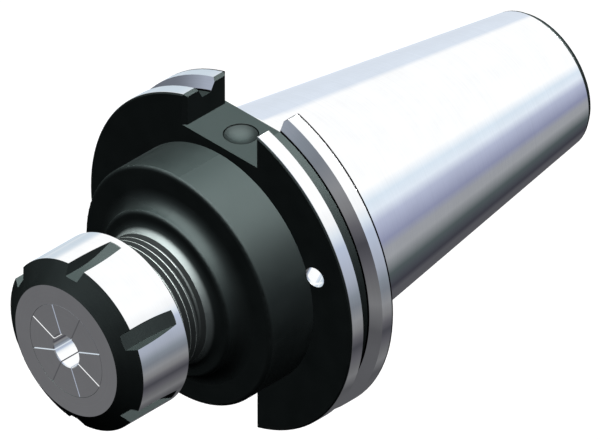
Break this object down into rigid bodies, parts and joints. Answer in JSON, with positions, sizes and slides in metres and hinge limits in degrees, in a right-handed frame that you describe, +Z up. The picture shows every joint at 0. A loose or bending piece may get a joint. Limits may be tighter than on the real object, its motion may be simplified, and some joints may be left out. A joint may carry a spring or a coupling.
{
  "type": "collet chuck holder",
  "caption": "Steep-taper tool holder with a grooved drive flange, a threaded nose, a slotted clamping nut and a slit spring collet.",
  "frame": {"origin": "on the turning axis at the gauge plane, where the spindle taper has its gauge diameter", "axes": "+X along the turning axis towards the taper's small end, +Z up through the middle of the upper drive slot, and the nut and collet at the -X end"},
  "size_m": [0.1778, 0.0984, 0.0944],
  "materials": {
    "holder_steel": "black oxide on the machined front, ground bright on the taper and the flange rims",
    "collet_steel": "fine ground, satin",
    "nut_steel": "polished outside, black oxide in the chamfer and the wrench slots"
  },
  "bodies": {
    "holder": {"holder_body": "holder_steel"},
    "collet": {"collet": "collet_steel"},
    "nut": {"clamping_nut": "nut_steel"}
  },
  "joints": [
    {"name": "collet_slide", "type": "slide", "parent": "holder", "child": "collet", "axis": [-1, 0, 0], "range_m": [0, 0.0093]},
    {"name": "nut_turn", "type": "hinge", "parent": "collet", "child": "nut", "pos_m": [-0.066, 0, 0], "axis": [-1, 0, 0], "range_deg": [0, 1675]}
  ],
  "couplings": [
    {"joint": "nut_turn", "follows": "collet_slide", "rad_per_m": 3141.6}
  ]
}
